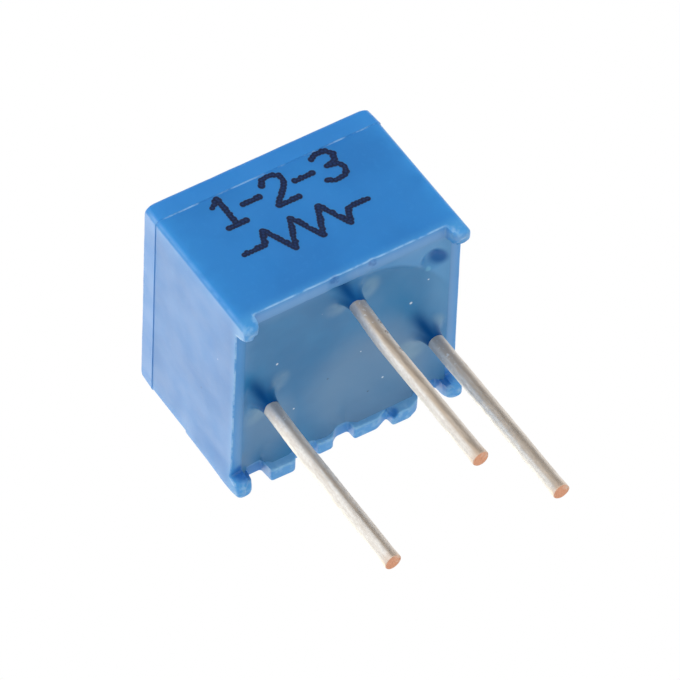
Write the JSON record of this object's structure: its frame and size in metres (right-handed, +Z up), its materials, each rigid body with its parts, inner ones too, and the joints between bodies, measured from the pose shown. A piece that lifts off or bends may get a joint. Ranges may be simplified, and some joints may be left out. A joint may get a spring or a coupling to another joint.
{
  "type": "trimmer potentiometer",
  "caption": "Small sealed square trimmer potentiometer for a printed board: blue moulded housing, slotted rotor on top, round pins through an epoxy-filled underside.",
  "frame": {"origin": "middle of the seating plane that the feet's tips lie in, where the rotor's axis meets the board", "axes": "+Z up through the rotor, -Z along the pins into the board, -Y towards the marked face and pin 2, +X from pin 1 to pin 3"},
  "size_m": [0.007, 0.0068, 0.0108],
  "materials": {
    "blue_moulding": "fine satin moulded plastic with soft scuffs",
    "marking_ink": "dark navy dots of marking ink",
    "rotor_moulding": "satin moulded plastic",
    "seal_rubber": "smooth silicone rubber",
    "contact_spring": "rolled spring alloy",
    "ceramic": "fired white alumina",
    "resistive_film": "glassy dark thick film",
    "contact_film": "fired silver-palladium film",
    "tinned_copper": "dull hot-tinned copper wire with bare cut ends",
    "solder": "bright solder",
    "potting_epoxy": "glossy cured epoxy, faintly cloudy"
  },
  "bodies": {
    "case": {"housing": "blue_moulding", "o_ring": "seal_rubber", "substrate": "ceramic", "resistive_track": "resistive_film", "collector_pad": "contact_film", "end_pad_1": "contact_film", "end_pad_3": "contact_film", "pin_1": "tinned_copper", "pin_2": "tinned_copper", "pin_3": "tinned_copper", "solder_1": "solder", "solder_2": "solder", "solder_3": "solder", "epoxy_seal": "potting_epoxy"},
    "adjuster": {"rotor": "rotor_moulding", "wiper": "contact_spring"}
  },
  "joints": [
    {"name": "adjuster_turn", "type": "hinge", "parent": "case", "child": "adjuster", "pos_m": [0, 0, 0.00365], "axis": [0, 0, 1], "range_deg": [-120, 120]}
  ]
}
